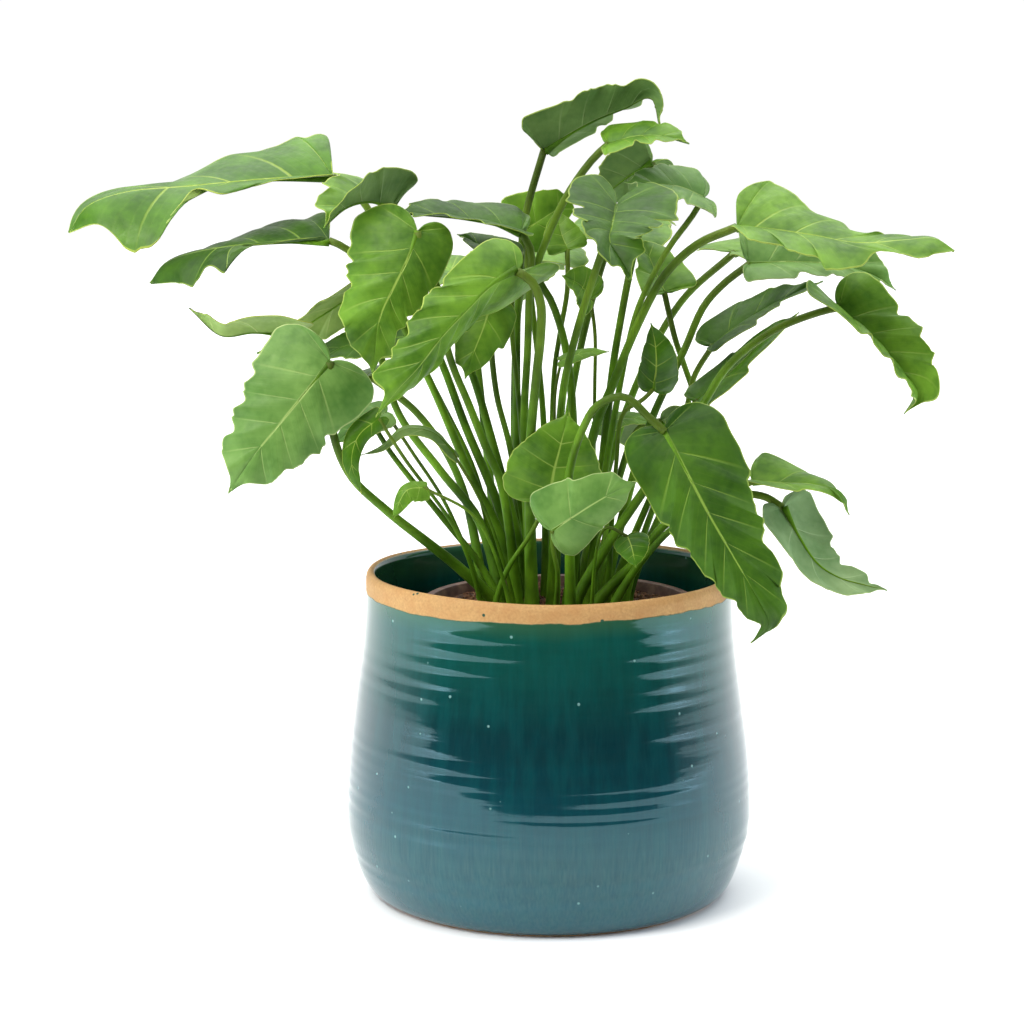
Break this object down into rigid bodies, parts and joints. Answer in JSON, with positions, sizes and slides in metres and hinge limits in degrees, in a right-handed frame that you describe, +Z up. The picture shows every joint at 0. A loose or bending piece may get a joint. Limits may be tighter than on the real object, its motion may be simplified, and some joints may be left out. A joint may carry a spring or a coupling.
{
  "type": "potted philodendron xanadu",
  "caption": "Bushy philodendron with lobed glossy leaves on long stalks, in a nursery pot inside a round glazed stoneware cover pot.",
  "frame": {"origin": "middle of the cover pot's foot, in the plane it stands on", "axes": "+Z up; the side seen in the picture faces -Y; +X to the right in the picture"},
  "size_m": [0.5934, 0.3629, 0.5614],
  "materials": {
    "ceramic_pot": "glossy teal glaze",
    "nursery_pot": "satin brown plastic",
    "potting_soil": "rough moist peat",
    "leaf_left_top": "smooth leaf with a soft sheen",
    "leaf_left_upper": "smooth leaf with a soft sheen",
    "leaf_left_small": "smooth leaf with a soft sheen",
    "leaf_left_bright": "smooth leaf with a soft sheen",
    "leaf_left_shaded": "smooth leaf with a soft sheen",
    "leaf_left_lower": "smooth leaf with a soft sheen",
    "leaf_left_centre": "smooth leaf with a soft sheen",
    "leaf_left_folded": "smooth leaf with a soft sheen",
    "leaf_middle_dark": "smooth leaf with a soft sheen",
    "leaf_middle_front": "smooth leaf with a soft sheen",
    "leaf_middle_inner": "smooth leaf with a soft sheen",
    "leaf_top": "smooth leaf with a soft sheen",
    "leaf_top_small": "smooth leaf with a soft sheen",
    "leaf_top_under": "smooth leaf with a soft sheen",
    "leaf_centre": "smooth leaf with a soft sheen",
    "leaf_twisted": "smooth leaf with a soft sheen",
    "leaf_right_upper": "smooth leaf with a soft sheen",
    "leaf_right_middle": "smooth leaf with a soft sheen",
    "leaf_right_inner": "smooth leaf with a soft sheen",
    "leaf_right_drooping": "smooth leaf with a soft sheen",
    "leaf_right_grey": "smooth leaf with a soft sheen",
    "leaf_right_rising": "smooth leaf with a soft sheen",
    "leaf_cupped": "smooth leaf with a soft sheen",
    "leaf_front_hanging": "smooth leaf with a soft sheen",
    "leaf_right_strap": "smooth leaf with a soft sheen",
    "leaf_right_lower": "smooth leaf with a soft sheen",
    "leaf_front_upright": "smooth leaf with a soft sheen",
    "leaf_front_low": "smooth leaf with a soft sheen",
    "leaf_front_tiny": "smooth leaf with a soft sheen",
    "leaf_strap_left": "smooth leaf with a soft sheen",
    "leaf_strap_thin": "smooth leaf with a soft sheen",
    "leaf_left_low_grey": "smooth leaf with a soft sheen",
    "leaf_draped": "smooth leaf with a soft sheen",
    "leaf_inner_sliver": "smooth leaf with a soft sheen",
    "leaf_inner_top": "smooth leaf with a soft sheen",
    "leaf_inner_green": "smooth leaf with a soft sheen",
    "leaf_inner_curled": "smooth leaf with a soft sheen",
    "leaf_inner_grey": "smooth leaf with a soft sheen",
    "leaf_inner_low": "smooth leaf with a soft sheen",
    "leaf_back_left": "smooth leaf with a soft sheen",
    "leaf_back_middle": "smooth leaf with a soft sheen",
    "leaf_back_upper": "smooth leaf with a soft sheen",
    "leaf_back_low_right": "smooth leaf with a soft sheen",
    "leaf_back_low_left": "smooth leaf with a soft sheen",
    "leaf_back_right": "smooth leaf with a soft sheen"
  },
  "bodies": {
    "root": {"ceramic_pot": "ceramic_pot", "nursery_pot": "nursery_pot", "potting_soil": "potting_soil", "leaf_left_top": "leaf_left_top", "leaf_left_upper": "leaf_left_upper", "leaf_left_small": "leaf_left_small", "leaf_left_bright": "leaf_left_bright", "leaf_left_shaded": "leaf_left_shaded", "leaf_left_lower": "leaf_left_lower", "leaf_left_centre": "leaf_left_centre", "leaf_left_folded": "leaf_left_folded", "leaf_middle_dark": "leaf_middle_dark", "leaf_middle_front": "leaf_middle_front", "leaf_middle_inner": "leaf_middle_inner", "leaf_top": "leaf_top", "leaf_top_small": "leaf_top_small", "leaf_top_under": "leaf_top_under", "leaf_centre": "leaf_centre", "leaf_twisted": "leaf_twisted", "leaf_right_upper": "leaf_right_upper", "leaf_right_middle": "leaf_right_middle", "leaf_right_inner": "leaf_right_inner", "leaf_right_drooping": "leaf_right_drooping", "leaf_right_grey": "leaf_right_grey", "leaf_right_rising": "leaf_right_rising", "leaf_cupped": "leaf_cupped", "leaf_front_hanging": "leaf_front_hanging", "leaf_right_strap": "leaf_right_strap", "leaf_right_lower": "leaf_right_lower", "leaf_front_upright": "leaf_front_upright", "leaf_front_low": "leaf_front_low", "leaf_front_tiny": "leaf_front_tiny", "leaf_strap_left": "leaf_strap_left", "leaf_strap_thin": "leaf_strap_thin", "leaf_left_low_grey": "leaf_left_low_grey", "leaf_draped": "leaf_draped", "leaf_inner_sliver": "leaf_inner_sliver", "leaf_inner_top": "leaf_inner_top", "leaf_inner_green": "leaf_inner_green", "leaf_inner_curled": "leaf_inner_curled", "leaf_inner_grey": "leaf_inner_grey", "leaf_inner_low": "leaf_inner_low", "leaf_back_left": "leaf_back_left", "leaf_back_middle": "leaf_back_middle", "leaf_back_upper": "leaf_back_upper", "leaf_back_low_right": "leaf_back_low_right", "leaf_back_low_left": "leaf_back_low_left", "leaf_back_right": "leaf_back_right"}
  },
  "joints": []
}
